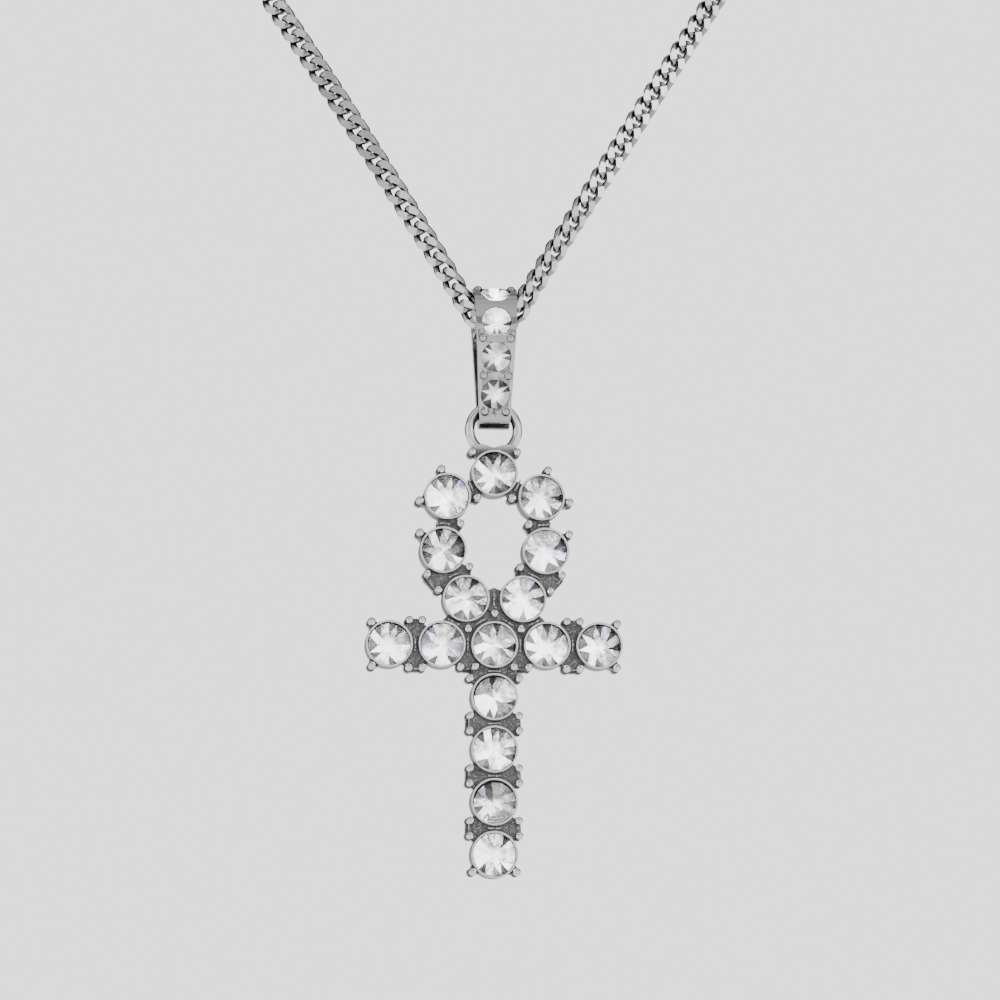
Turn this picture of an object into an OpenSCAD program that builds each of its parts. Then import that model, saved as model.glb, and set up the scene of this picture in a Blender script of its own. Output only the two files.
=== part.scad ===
/* [Ankh] */
// Distance between stone centres down the stem
stem_pitch = 4.46; // [4.3:0.02:5]
// Distance between stone centres along each arm
arm_pitch = 4.5; // [4.4:0.02:5]
// Distance from the middle of the loop to its side stones
loop_half_w = 4.4; // [4.3:0.05:5]
// Height of the loop's top stone above the cross centre
loop_h = 14.8; // [14.6:0.1:17]
// Thickness of the ankh from the back to the cup rims
body_t = 2.5; // [2.2:0.1:3.2]
// Thickness of the webs that fill between the cups
web_t = 1.75; // [1.2:0.05:2]
// Distance from a stone's centre to the corners of the webs
web_reach = 2.62; // [2.4:0.02:2.8]
// Thickness of the base behind the webs and prongs
base_t = 1.1; // [0.7:0.05:1.5]
// Distance that the base stands out round the webs and prongs
base_edge = 0.36; // [0.2:0.02:0.4]
// Width of the low sill between two prongs
sill_w = 0.2; // [0.15:0.01:0.4]
// Depth of the sill's top below the web's face
sill_drop = 0.1; // [0:0.02:0.4]
// Length of the raised line across the middle of each web
seam_l = 1.1; // [0.6:0.1:1.6]
// Width of the raised line
seam_w = 0.16; // [0.12:0.01:0.3]
// Height of the raised line above the web
seam_h = 0.14; // [0.1:0.02:0.3]

/* [Cups and stones] */
// Outer diameter of a cup
cup_d = 4; // [3.8:0.05:4.2]
// Width of the cup's rim
rim_w = 0.15; // [0.12:0.01:0.25]
// Depth of the stone's girdle below the rim
girdle_depth = 0.3; // [0.2:0.05:0.5]
// Height of a stone above its girdle
stone_crown_h = 0.55; // [0.4:0.05:0.7]
// Depth of a stone below its girdle
stone_pavilion_h = 1.45; // [1.2:0.05:1.6]
// Thickness of the girdle
girdle_t = 0.1; // [0.06:0.01:0.15]
// Diameter of the hole in the back of each cup
cup_hole_d = 1.9; // [1.4:0.1:2.4]

/* [Prongs] */
// Diameter of a prong's ball head
prong_d = 0.7; // [0.55:0.05:0.8]
// Diameter of a prong's post
post_d = 0.52; // [0.4:0.02:0.54]
// Distance from a stone's centre to a prong on its own
prong_reach = 2.48; // [2.4:0.02:2.7]
// Height of a ball's middle below the cup rim
prong_sink = 0.08; // [0:0.02:0.3]
// Width of the lug that carries a prong at an end of the ankh
lug_w = 0.9; // [0.6:0.05:1.2]

/* [Ring] */
// Outer diameter of the ring on top of the ankh
ring_d = 5; // [4.8:0.1:6]
// Diameter of the ring's wire
ring_wire = 0.86; // [0.6:0.02:0.9]
// Depth of the ring's foot in the top cup
ring_sink = 0.6; // [0.4:0.05:0.8]

/* [Bail] */
// Height of the bail
bail_h = 12.3; // [11:0.1:15]
// Width of the strip at the crown
crown_w = 3.8; // [3.4:0.1:4.2]
// Width of the strip at the foot
foot_w = 2.6; // [2.4:0.05:2.9]
// Thickness of the strip
strip_t = 0.75; // [0.6:0.05:0.85]
// Outer diameter of the crown seen from the side
crown_d = 5.3; // [5:0.1:6]
// Outer diameter of the foot seen from the side
foot_d = 3; // [2.8:0.1:3.2]
// Radius of the bulge of the front
front_r = 6; // [5:0.1:8]
// Lean of the straight part of the front
front_lean = 15; // [12:0.5:18]
// Width of the bevel on the crown's inner edges
bevel_w = 0.6; // [0.4:0.05:0.8]
// Depth of the bevel at the strip's edges
bevel_depth = 0.42; // [0.3:0.02:0.5]
// Diameter of the bead heads between the bail's stones
bead_d = 0.78; // [0.6:0.02:0.86]
// Distance of a bead from the strip's edge
bead_inset = 0.46; // [0.4:0.02:0.6]
// Depth of a bead's middle below the strip's face
bead_sink = 0.12; // [0:0.02:0.2]
// Distance of the lowest beads below the last stone
low_bead_drop = 1.5; // [1.4:0.02:1.6]
// Length of the groove below the last stone
groove_l = 1.1; // [0.8:0.1:1.3]
// Width of the groove
groove_w = 0.12; // [0.1:0.02:0.2]

/* [Bail stones] */
// Diameter of a stone of the bail
bail_stone_d = 2.5; // [2:0.05:2.55]
// Distance between the bail's stones along the strip
bail_stone_pitch = 3.22; // [3:0.02:3.4]
// Distance of the last stone from the start of the foot's bend
bail_stone_start = 1.7; // [1.6:0.02:2]
// Height of a bail stone above its girdle
bail_crown_h = 0.32; // [0.2:0.02:0.4]
// Depth of a bail stone below its girdle
bail_pavilion_h = 0.8; // [0.6:0.05:0.85]
// Depth of the girdle below the strip's face
bail_girdle_depth = 0.26; // [0.18:0.01:0.3]
// Diameter of the hole through the strip under a stone
bail_hole_d = 1.2; // [1:0.05:1.5]

/* [Chain and clasp] */
// Diameter of the tube that has the size of the chain
chain_d = 1.6; // [1.2:0.05:1.65]
// Free height above the chain under the bail's crown
chain_room = 1.7; // [1.5:0.05:2]
// Length of the clasp's barrel
clasp_l = 8; // [6:0.5:8.5]
// Diameter of the clasp's barrel
clasp_d = 3.2; // [2.6:0.1:4]
// Diameter of the barrel's narrow ends
clasp_cap_d = 1.9; // [1.4:0.1:2.2]
// Length of each narrow end
clasp_cap_l = 0.8; // [0.5:0.1:1.2]
// Outer diameter of the rings at the clasp's ends
clasp_ring_d = 2.4; // [2:0.1:2.6]
// Diameter of the wire of the clasp's end rings
clasp_wire = 0.6; // [0.5:0.05:0.7]

/* [Clearances] */
// Gap between a stone and its cup or seat
stone_gap = 0.04; // [0.02:0.01:0.08]
// Gap between the bail's foot and the ring that hangs on it
ring_gap = 0.15; // [0.1:0.01:0.25]
// Gap between the chain's end and the clasp's ring
chain_gap = 0.15; // [0.1:0.05:0.3]

/* [Hidden] */
$fn = 48;

// Colours
silver_cast = [0.62, 0.63, 0.65];
silver_bright = [0.85, 0.86, 0.88];
crystal = [0.93, 0.95, 0.99];

// The chain's route from the middle of the front to the clasp, right half: x, y, z
ROUTE = [
    [0, -112, -118], [1, -112, -117.8], [1.9, -112, -116.9], [3, -112, -115.1],
    [5, -112, -111.8], [8.7, -111.7, -105.8], [15, -110.5, -95.5], [24, -107, -81],
    [34, -100.5, -65], [44, -90, -49], [52, -76, -35], [57, -60, -23],
    [57, -44, -14], [51, -28, -7], [40, -15, -3], [26, -6, -1], [13, -1.5, 0]
];
// Spacing of the rings of the chain's tube
chain_ring_gap = 6.4;
chain_sides = 8;

// The loop's stones: x as a share of loop_half_w, z as a share of loop_h
LOOP = [[0, 1], [0.92, 0.861], [1, 0.547], [0.555, 0.266]];
ARM_STONES = 2;
STEM_STONES = 4;

// Cup numbers, in the order of half_cups
TOP = 0;
UPPER = TOP + 1;
SIDE = UPPER + 1;
LOWER = SIDE + 1;
CENTRE = len(LOOP);
ARM = CENTRE + 1;
TIP = CENTRE + ARM_STONES;
STEM = TIP + 1;
FOOT = TIP + STEM_STONES;

// Cups of the right half and the middle: x, z from the cross centre
half_cups = concat(
    [for (row = LOOP) [row[0] * loop_half_w, row[1] * loop_h]],
    [for (k = [0:ARM_STONES]) [k * arm_pitch, 0]],
    [for (k = [1:STEM_STONES]) [0, -k * stem_pitch]]
);
all_cups = [for (c = half_cups) for (side = c[0] > 0 ? [1, -1] : [1]) [side * c[0], c[1]]];

// Prongs that stand on a lug of their own: cup, bearing in degrees, share of prong_reach
LUGS = [
    [UPPER, 77, 0.97], [UPPER, -10, 0.98], [SIDE, 36, 1],
    [TIP, 51, 0.97], [TIP, -52, 0.97], [FOOT, -38, 0.96]
];
// Prongs of the right half, in the same way
PRONGS = concat(
    [
        [TOP, 43.5, 1.07], [TOP, -55, 1.06],
        [UPPER, -115, 1.05], [SIDE, -57, 1.01], [SIDE, -147, 1.06],
        [LOWER, 17, 1], [LOWER, -94, 1.05],
        [CENTRE, 90, 1.08], [CENTRE, -49, 1.02],
        [ARM, -130, 1.01], [ARM, 50, 1.07], [ARM, -50, 1.05],
        [TIP, 130, 1.07], [TIP, -130, 1.05]
    ],
    [for (k = [STEM:FOOT]) [k, 37, 1.06]],
    [for (k = [STEM:FOOT - 1]) [k, -38, 1.06]],
    LUGS
);

// Webs of the right half: two cups, then the corners on each side as cup, bearing and,
// where a corner isn't under a prong, the share of web_reach
SIDE_WEBS = [
    [TOP, UPPER, [[TOP, -18, 0.87]], [[TOP, -55]]],
    [UPPER, SIDE, [[UPPER, -70, 0.85], [SIDE, 79, 0.78]], [[UPPER, -115]]],
    [SIDE, LOWER, [[SIDE, -57], [LOWER, 17]], [[SIDE, -147]]],
    [LOWER, ARM, [[LOWER, -43]], [[LOWER, -94]]],
    [LOWER, CENTRE, [[LOWER, -94]], [[CENTRE, 90]]],
    [CENTRE, ARM, [[CENTRE, -49], [ARM, -130]], [[LOWER, -94]]],
    [ARM, TIP, [[ARM, -50], [TIP, -130]], [[TIP, 130], [ARM, 50]]]
];
// Webs on the middle line: two cups, then the corners on the right side
MIDDLE_WEBS = concat(
    [[CENTRE, STEM, [[CENTRE, -49], [STEM, 37]]]],
    [for (k = [STEM:FOOT - 1]) [k, k + 1, [[k, -38], [k + 1, 37]]]]
);
// The web under the ring, in the same way
RING_WEB = [[TOP, 43.5], [TOP, 56.5, 1.17], [TOP, 70.5, 1.05], [TOP, 90, 0.88]];
// Bearings, from the lower cup, of the web that joins the two lower cups
crotch_top_bearing = 157;
crotch_bottom_bearing = -152;

// Sizes worked out from the ones above
overlap = 0.2;
base_spread = 0.12;
cup_r = cup_d / 2;
stone_r = cup_r - rim_w - stone_gap;
bore_r = stone_r + stone_gap;
front_y = -body_t / 2;
back_y = body_t / 2;
web_y = back_y - web_t;
base_y = back_y - base_t;
girdle_y = front_y + girdle_depth;
ring_mid_r = (ring_d - ring_wire) / 2;
ring_in_r = ring_d / 2 - ring_wire;
ring_z = loop_h + cup_r + ring_d / 2 - ring_sink;
wire_z = ring_z + ring_mid_r;

// The bail's side outline: u runs forward and v up from the crown's axis
crown_r = crown_d / 2;
foot_r = foot_d / 2;
crown_in_r = crown_r - strip_t;
foot_in_r = foot_r - strip_t;
foot_v = crown_r + foot_r - bail_h;
back_lean = asin((crown_r - foot_r) / -foot_v);
front_p = -foot_v * sin(front_lean) + foot_r - front_r;
front_q = sqrt(pow(front_r - crown_r, 2) - pow(front_p, 2));
front_c = [
    front_p * cos(front_lean) - front_q * sin(front_lean),
    -front_p * sin(front_lean) - front_q * cos(front_lean)
];
front_top = atan2(-front_c[1], -front_c[0]);
arc_step = 6;

// Places along the front of the strip, upward from the end of the foot's bend
line_l = -foot_v * cos(front_lean) - front_q;
bulge_l = front_r * (front_top + front_lean) * PI / 180;

// Where the bail and the ankh hang
apex = ROUTE[0];
crown_at = [0, apex[1], apex[2] + chain_d / 2 + chain_room - crown_in_r];
strip_taper = (crown_w - foot_w) / bail_h;
foot_in_w = foot_w + strip_taper * strip_t;
perch = ring_mid_r - sqrt(pow(ring_in_r, 2) - pow(foot_in_w / 2, 2)) + ring_gap;
ankh_at = [0, apex[1], crown_at[2] + foot_v - foot_in_r + perch - wire_z];

// A point at a reach and a bearing from a cup
function corner(cup, bearing, reach) = half_cups[cup] + reach * [cos(bearing), sin(bearing)];
function corners(rows, edge = 0) = [
    for (row = rows) corner(row[0], row[1], (len(row) > 2 ? row[2] : 1) * web_reach + edge)
];
// The middles of two cups, moved apart so that a base's walls stand clear of its web's
function apart(a, b) = [a + base_spread * (a - b), b + base_spread * (b - a)];
function mirrored(points) = [for (k = [len(points) - 1:-1:0]) [-points[k][0], points[k][1]]];

function arc(centre, radius, from, to) =
    let (steps = ceil((to - from) / arc_step))
    [for (k = [0:steps]) let (a = from + (to - from) * k / steps) centre + radius * [cos(a), sin(a)]];
function without_last(points) = [for (k = [0:len(points) - 2]) points[k]];
function bail_outline(inset) = concat(
    without_last(arc([0, 0], crown_r - inset, front_top, 180 + back_lean)),
    [(crown_r - inset) * [-cos(back_lean), -sin(back_lean)]],
    arc([0, foot_v], foot_r - inset, 180 + back_lean, 360 - front_lean),
    without_last(arc(front_c, front_r - inset, -front_lean, front_top))
);

// Place and tilt on the strip's face at a distance s up the front: u, v, tilt
function strip_tilt(s) =
    s < line_l ? -front_lean
    : s < line_l + bulge_l ? -front_lean + (s - line_l) / front_r * 180 / PI
    : front_top + (s - line_l - bulge_l) / crown_r * 180 / PI;
function strip_point(s) =
    let (t = strip_tilt(s))
    s < line_l ? [0, foot_v] + foot_r * [cos(t), sin(t)] + s * [sin(front_lean), cos(front_lean)]
    : s < line_l + bulge_l ? front_c + front_r * [cos(t), sin(t)]
    : crown_r * [cos(t), sin(t)];
function stone_s(k) = bail_stone_start + k * bail_stone_pitch;
function strip_half_w(v) = foot_w / 2 + (v - foot_v + foot_r) * strip_taper / 2;

// A smooth path through points, with a ring about every gap
function speed(p, k) =
    let (n = len(p) - 1, a = max(k - 1, 0), b = min(k + 1, n))
    (p[b] - p[a]) / (norm(p[b] - p[k]) + norm(p[k] - p[a]));
function blend(p, k, t) =
    let (d = norm(p[k + 1] - p[k]), t2 = t * t, t3 = t2 * t)
    (2 * t3 - 3 * t2 + 1) * p[k] + (t3 - 2 * t2 + t) * d * speed(p, k)
    + (3 * t2 - 2 * t3) * p[k + 1] + (t3 - t2) * d * speed(p, k + 1);
function smooth(p, gap) = concat(
    [for (k = [0:len(p) - 2])
        let (steps = max(1, round(norm(p[k + 1] - p[k]) / gap)))
        for (j = [0:steps - 1]) blend(p, k, j / steps)],
    [p[len(p) - 1]]
);

// Stones

// A round cut stone: table up, girdle at z = 0, an eightfold crown and pavilion
module cut_stone(radius, crown_h, pavilion_h) {
    table_share = 0.56;
    star_share = 0.8;
    lower_share = 0.4;
    culet_share = 0.03;
    // Heights that keep the kites of the crown and of the pavilion flat
    half_step = cos(180 / 8);
    star_h_share = (1 - star_share * half_step) / (1 - table_share);
    lower_h_share = (1 - lower_share * half_step) / (1 - culet_share * half_step);
    band = girdle_t / 2;
    ring = function (n, r, z, turn)
        [for (k = [0:n - 1]) [r * cos((k + turn) * 360 / n), r * sin((k + turn) * 360 / n), z]];
    points = concat(
        ring(8, radius * table_share, crown_h, 0),
        ring(8, radius * star_share, band + (crown_h - band) * star_h_share, 0.5),
        ring(16, radius, band, 0),
        ring(16, radius, -band, 0),
        ring(8, radius * lower_share, -band - (pavilion_h - band) * lower_h_share, 0.5),
        ring(8, radius * culet_share, -pavilion_h, 0.5)
    );
    star = 8;
    top = 16;
    under = 32;
    low = 48;
    tip = 56;
    faces = concat(
        [[for (k = [7:-1:0]) k]],
        [for (k = [0:7]) [k, (k + 1) % 8, star + k]],
        [for (k = [0:7]) [k, star + k, top + 2 * k]],
        [for (k = [0:7]) [k, top + 2 * k, star + (k + 7) % 8]],
        [for (k = [0:7]) [star + k, top + 2 * k + 1, top + 2 * k]],
        [for (k = [0:7]) [star + k, top + (2 * k + 2) % 16, top + 2 * k + 1]],
        [for (k = [0:15]) [top + k, top + (k + 1) % 16, under + (k + 1) % 16, under + k]],
        [for (k = [0:7]) [under + 2 * k, under + 2 * k + 1, low + k]],
        [for (k = [0:7]) [under + 2 * k + 1, under + (2 * k + 2) % 16, low + k]],
        [for (k = [0:7]) [under + (2 * k + 2) % 16, low + (k + 1) % 8, low + k]],
        [for (k = [0:7]) [low + k, low + (k + 1) % 8, tip + (k + 1) % 8, tip + k]],
        [[for (k = [0:7]) tip + k]]
    );
    polyhedron(points, faces);
}

module ankh_stone(k) {
    place = all_cups[k - 1];
    color(crystal)
        translate(ankh_at + [place[0], girdle_y, place[1]])
            rotate([90, 0, 0]) cut_stone(stone_r, stone_crown_h, stone_pavilion_h);
}

// Moves a shape that looks along +Z onto the strip's face, at a distance s up the front
module on_strip(s) {
    point = strip_point(s);
    translate(crown_at + [0, -point[0], point[1]]) rotate([90 - strip_tilt(s), 0, 0]) children();
}

module bail_stone(k) {
    color(crystal)
        on_strip(stone_s(4 - k)) translate([0, 0, -bail_girdle_depth])
            cut_stone(bail_stone_d / 2, bail_crown_h, bail_pavilion_h);
}

// Ankh frame

// Moves an outline in x and z so that it fills from y = from back to y = to
module across(from, to) {
    translate([0, to, 0]) rotate([90, 0, 0]) linear_extrude(to - from) children();
}

module both_sides() {
    children();
    mirror([1, 0, 0]) children();
}

module cup_body(at) {
    translate([at[0], back_y, at[1]]) rotate([90, 0, 0]) cylinder(h = body_t, r = cup_r);
}

// The bore at the girdle, the tapered seat and the open back
module cup_seat(at) {
    straight = girdle_depth + girdle_t;
    taper = stone_pavilion_h * (1 - cup_hole_d / 2 / bore_r) + stone_gap;
    translate([at[0], front_y, at[1]]) rotate([-90, 0, 0]) {
        translate([0, 0, -overlap]) cylinder(h = overlap + straight, r = bore_r);
        translate([0, 0, straight]) cylinder(h = taper, r1 = bore_r, r2 = cup_hole_d / 2);
        cylinder(h = body_t + overlap, r = cup_hole_d / 2);
    }
}

// A fine raised line across the middle of a web
module seam(a, b) {
    across(web_y - seam_h, web_y + overlap)
        translate((a + b) / 2) rotate(atan2(b[1] - a[1], b[0] - a[0]))
            square([seam_w, seam_l], center = true);
}

// A low ridge from one prong of a web to the next
module sill(rows) {
    a = corners(rows)[0];
    b = corners(rows)[1];
    across(web_y + sill_drop, back_y)
        translate((a + b) / 2) rotate(atan2(b[1] - a[1], b[0] - a[0]))
            square([norm(b - a), sill_w], center = true);
}

// The web between two cups, with its base; the corners are rows of one side and the other
module web(cups, right, left) {
    a = half_cups[cups[0]];
    b = half_cups[cups[1]];
    base = apart(a, b);
    across(web_y, back_y) polygon(concat([a], corners(right), [b], corners(left)));
    across(base_y, back_y) polygon(concat(
        [base[0]], corners(right, base_edge), [base[1]], corners(left, base_edge)
    ));
    seam(a, b);
    if (len(right) == 2) sill(right);
    if (len(left) == 2) sill(left);
}

module middle_web(cups, rows) {
    a = half_cups[cups[0]];
    b = half_cups[cups[1]];
    base = apart(a, b);
    across(web_y, back_y)
        polygon(concat([a], corners(rows), [b], mirrored(corners(rows))));
    across(base_y, back_y) polygon(concat(
        [base[0]], corners(rows, base_edge), [base[1]], mirrored(corners(rows, base_edge))
    ));
    seam(a, b);
    both_sides() sill(rows);
}

module ring_web() {
    across(web_y, back_y)
        polygon(concat([half_cups[TOP]], corners(RING_WEB), mirrored(corners(RING_WEB))));
}

module crotch_web() {
    right = half_cups[LOWER];
    top = corner(LOWER, crotch_top_bearing, web_reach);
    bottom = corner(LOWER, crotch_bottom_bearing, web_reach);
    across(web_y, back_y) polygon([right, [0, top[1]], [-right[0], right[1]], [0, bottom[1]]]);
    seam(right, [-right[0], right[1]]);
}

// Narrows from the cup to the prong's post
module lug(cup, bearing, share) {
    end = share * prong_reach;
    across(web_y, back_y) translate(half_cups[cup]) rotate(bearing) polygon([
        [0, -lug_w / 2], [cup_r, -lug_w / 2], [end, -post_d / 2],
        [end, post_d / 2], [cup_r, lug_w / 2], [0, lug_w / 2]
    ]);
}

module prong(at) {
    ball_y = front_y + prong_sink;
    translate([at[0], ball_y, at[1]]) sphere(d = prong_d, $fn = 24);
    across(ball_y, back_y) translate(at) circle(d = post_d);
    across(base_y, back_y) translate(at) circle(r = base_edge);
}

module top_ring() {
    translate([0, 0, ring_z]) rotate([90, 0, 0])
        rotate_extrude() translate([ring_mid_r, 0]) circle(d = ring_wire, $fn = 24);
}

module prongs() {
    for (row = PRONGS) {
        at = corner(row[0], row[1], row[2] * prong_reach);
        if (abs(at[0]) < overlap) prong([0, at[1]]);
        else both_sides() prong(at);
    }
}

module ankh_frame() {
    color(silver_cast) translate(ankh_at) difference() {
        union() {
            for (at = all_cups) cup_body(at);
            both_sides() for (w = SIDE_WEBS) web([w[0], w[1]], w[2], w[3]);
            for (w = MIDDLE_WEBS) middle_web([w[0], w[1]], w[2]);
            ring_web();
            crotch_web();
            both_sides() for (row = LUGS) lug(row[0], row[1], row[2]);
            prongs();
            top_ring();
        }
        for (at = all_cups) cup_seat(at);
    }
}

// Bail

module bail_loop() {
    wide = crown_w + 2 * overlap;
    rotate([90, 0, -90]) difference() {
        linear_extrude(wide, center = true) polygon(bail_outline(0));
        linear_extrude(wide + 2 * overlap, center = true) polygon(bail_outline(strip_t));
    }
}

// The strip's front view, wide at the crown and narrow at the foot
module strip_front() {
    deep = 2 * front_r;
    top = crown_r + overlap;
    bottom = foot_v - foot_r - overlap;
    across(-deep, deep) polygon([
        [-strip_half_w(top), top], [-strip_half_w(bottom), bottom],
        [strip_half_w(bottom), bottom], [strip_half_w(top), top]
    ]);
}

// Eases the crown's inner edges where the chain leaves upward
module crown_bevel() {
    edge = strip_half_w(0);
    rise = bevel_depth / bevel_w;
    both_sides() translate([edge - bevel_w - overlap, 0, 0]) rotate([0, 90, 0])
        cylinder(
            h = bevel_w + 2 * overlap,
            r1 = crown_in_r - rise * overlap,
            r2 = crown_in_r + rise * (bevel_w + overlap)
        );
}

module bead_pair(s) {
    x = strip_half_w(strip_point(s)[1]) - bead_inset;
    on_strip(s) both_sides() translate([x, 0, -bead_sink]) sphere(d = bead_d, $fn = 24);
}

// The bore at the girdle, the tapered seat and the hole through the strip
module bail_seat() {
    deep = bail_girdle_depth + girdle_t;
    seat_r = bail_stone_d / 2 + stone_gap;
    taper = bail_pavilion_h * (1 - bail_hole_d / 2 / seat_r) + stone_gap;
    translate([0, 0, -deep]) cylinder(h = deep + strip_t, r = seat_r);
    translate([0, 0, -deep - taper]) cylinder(h = taper, r1 = bail_hole_d / 2, r2 = seat_r);
    translate([0, 0, -2 * strip_t]) cylinder(h = 2 * strip_t, d = bail_hole_d);
}

module bail() {
    bead_rows = [
        stone_s(0) - low_bead_drop, stone_s(0) + bail_stone_pitch / 2,
        stone_s(1) + bail_stone_pitch / 2, stone_s(3) + bead_d
    ];
    color(silver_bright) difference() {
        union() {
            translate(crown_at) difference() {
                intersection() {
                    bail_loop();
                    strip_front();
                }
                crown_bevel();
            }
            for (s = bead_rows) bead_pair(s);
        }
        for (k = [0:3]) on_strip(stone_s(k)) bail_seat();
        on_strip(0) cube([groove_w, groove_l, groove_w], center = true);
    }
}

// Chain and clasp

clasp_ring_x = clasp_l / 2 + clasp_ring_d / 2 - clasp_wire / 2;
chain_end = [clasp_ring_x + clasp_ring_d / 2 + chain_gap, 0, 0];
half_route = concat(ROUTE, [chain_end]);
route = concat(
    [for (k = [len(half_route) - 1:-1:1]) [-half_route[k][0], half_route[k][1], half_route[k][2]]],
    half_route
);

// A tube of flat-sided rings swept along a path; the lean keeps every ring square to it
module tube(path, d, sides) {
    lean = [0, -1, 1];
    last = len(path) - 1;
    rings = [for (k = [0:last])
        let (
            along = path[min(k + 1, last)] - path[max(k - 1, 0)],
            side = cross(along, lean),
            u = side / norm(side),
            v = cross(u, along) / norm(along)
        )
        for (j = [0:sides - 1])
            path[k] + d / 2 * (cos(j * 360 / sides) * u + sin(j * 360 / sides) * v)];
    sides_faces = [for (k = [0:last - 1]) for (j = [0:sides - 1])
        let (a = k * sides, b = a + sides, next = (j + 1) % sides)
        [a + j, a + next, b + next, b + j]];
    caps = [
        [for (j = [sides - 1:-1:0]) j],
        [for (j = [0:sides - 1]) last * sides + j]
    ];
    polyhedron(rings, concat(sides_faces, caps), convexity = 10);
}

module chain() {
    color(silver_bright) tube(smooth(route, chain_ring_gap), chain_d, chain_sides);
}

module clasp() {
    color(silver_bright) union() {
        rotate([0, 90, 0]) cylinder(h = clasp_l - 2 * clasp_cap_l, d = clasp_d, center = true);
        rotate([0, 90, 0]) cylinder(h = clasp_l, d = clasp_cap_d, center = true);
        both_sides() translate([clasp_ring_x, 0, 0])
            rotate_extrude() translate([(clasp_ring_d - clasp_wire) / 2, 0])
                circle(d = clasp_wire, $fn = 24);
    }
}

ankh_frame();
bail();
chain();
clasp();
for (k = [1:16]) ankh_stone(k);
for (k = [1:4]) bail_stone(k);
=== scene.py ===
"""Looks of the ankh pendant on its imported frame: metals, cut stones, bail and curb chain."""

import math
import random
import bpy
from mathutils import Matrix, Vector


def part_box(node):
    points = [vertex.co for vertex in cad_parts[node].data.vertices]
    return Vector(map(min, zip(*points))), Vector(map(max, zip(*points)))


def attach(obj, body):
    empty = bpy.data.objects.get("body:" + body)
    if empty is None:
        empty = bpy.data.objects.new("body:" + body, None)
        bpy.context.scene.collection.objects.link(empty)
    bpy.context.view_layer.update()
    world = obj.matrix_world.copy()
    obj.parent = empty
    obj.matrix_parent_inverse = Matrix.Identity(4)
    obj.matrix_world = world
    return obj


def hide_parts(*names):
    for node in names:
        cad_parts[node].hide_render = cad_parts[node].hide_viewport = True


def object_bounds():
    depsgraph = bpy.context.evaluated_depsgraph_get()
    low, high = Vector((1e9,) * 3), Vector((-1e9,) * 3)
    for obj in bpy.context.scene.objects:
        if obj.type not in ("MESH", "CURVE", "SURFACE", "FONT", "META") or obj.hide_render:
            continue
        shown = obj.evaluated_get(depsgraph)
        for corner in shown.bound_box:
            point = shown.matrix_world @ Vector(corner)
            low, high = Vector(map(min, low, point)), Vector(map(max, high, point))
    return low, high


bl_info = {
    "name": "Ankh pendant looks",
    "version": (1, 0, 0),
    "blender": (4, 5, 0),
    "location": "3D View > Sidebar > Ankh",
    "description": "Gives the packed ankh pendant its metals, stones and chain of links",
    "category": "Object",
}

import bmesh
import bpy
from bpy.props import FloatProperty, FloatVectorProperty, IntProperty, PointerProperty
from mathutils import Matrix, Vector

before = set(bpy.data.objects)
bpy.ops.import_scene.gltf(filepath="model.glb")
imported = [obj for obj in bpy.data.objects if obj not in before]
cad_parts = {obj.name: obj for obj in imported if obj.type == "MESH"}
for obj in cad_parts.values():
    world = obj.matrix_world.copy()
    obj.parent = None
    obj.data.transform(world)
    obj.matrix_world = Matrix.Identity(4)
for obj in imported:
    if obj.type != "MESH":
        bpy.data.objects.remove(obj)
CAD_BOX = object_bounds()

MM = 0.001

ANKH_STONES = [f"stone_{k}" for k in range(1, 17)]
BAIL_STONES = [f"bail_stone_{k}" for k in range(1, 5)]

# The point that the camera and the lights look at
AIM = Vector((0.56, -112, -133.18)) * MM
SENSOR_WIDTH = 36
FLOOR_DROP = 34 * MM
FLOOR_SPAN = 4.0

# Depths of the source: from the cups' rims to the girdles' fronts, from the back to the webs,
# and from the clasp's end to the middle of the chain's last link
STONE_RISE = 0.25 * MM
WEB_DEPTH = 1.75 * MM
CLASP_REACH = 0.15 * MM

# The chain's route from the middle of the front to the clasp, right half, in millimetres
ROUTE = [
    (0, -112, -118), (1, -112, -117.8), (1.9, -112, -116.9), (3, -112, -115.1),
    (5, -112, -111.8), (8.7, -111.7, -105.8), (15, -110.5, -95.5), (24, -107, -81),
    (34, -100.5, -65), (44, -90, -49), (52, -76, -35), (57, -60, -23),
    (57, -44, -14), (51, -28, -7), (40, -15, -3), (26, -6, -1), (13, -1.5, 0),
]
ROUTE_STEP = 1 * MM

# Curb links: how full an oval's corners are, and the wire's hexagon
LINK_FULLNESS = 0.75
LINK_TURN_STEP = 0.02
HEXAGON_CORNER = math.sin(math.pi / 3)
SMALLEST_CUT = 0.1
ON_CUT_FACE = 1e-6

# Polished silver: the size of its clouds, the form of its hairlines, and the painted shade in
# its hollows
CLOUD = 0.9 * MM
CLOUD_TONE = 0.93
HAIR_STRETCH = (1, 1, 0.12)
HAIR_TURN = (0.3, 0.5, 0.2)
HAIR_DEPTH = 0.01 * MM
# Painted shade on the sides of polished metal: the range of facing over which it fades in
PAINTED_SIDE_SHADE_RANGE = (0.4, 0.94)
SHADE_HOLLOW_REACH = 0.55 * MM
SHADE_HOLLOW_LEFT = 0.15
OPEN_RANGE = (0.4, 0.92)

# Cast silver, in millimetres: behind the rims, above the top stone and behind the webs' fronts
# Where the cast silver is matt and darkened by painted shade
DULL_DEPTHS = (0.24, 0.44)
DULL_WALLS = (0.05, 0.14)
WALL_FACING = (0.05, 0.12)
RING_HEIGHTS = (0.2, 0.8)
BACK_DEPTHS = (0.9, 1.6)
BACK_SHARE = 0.75
# Painted highlights along the webs' seams and sills: their depths from the webs' fronts, half
# widths, and the seams' share
SEAM_DEPTH, SEAM_HALF, SEAM_SHARE = 0.14 * MM, 0.04 * MM, 0.8
SILL_DEPTH, SILL_HALF = 0.1 * MM, 0.02 * MM
RAGGED = 0.16 * MM
BLOTCH = 0.8 * MM
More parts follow.
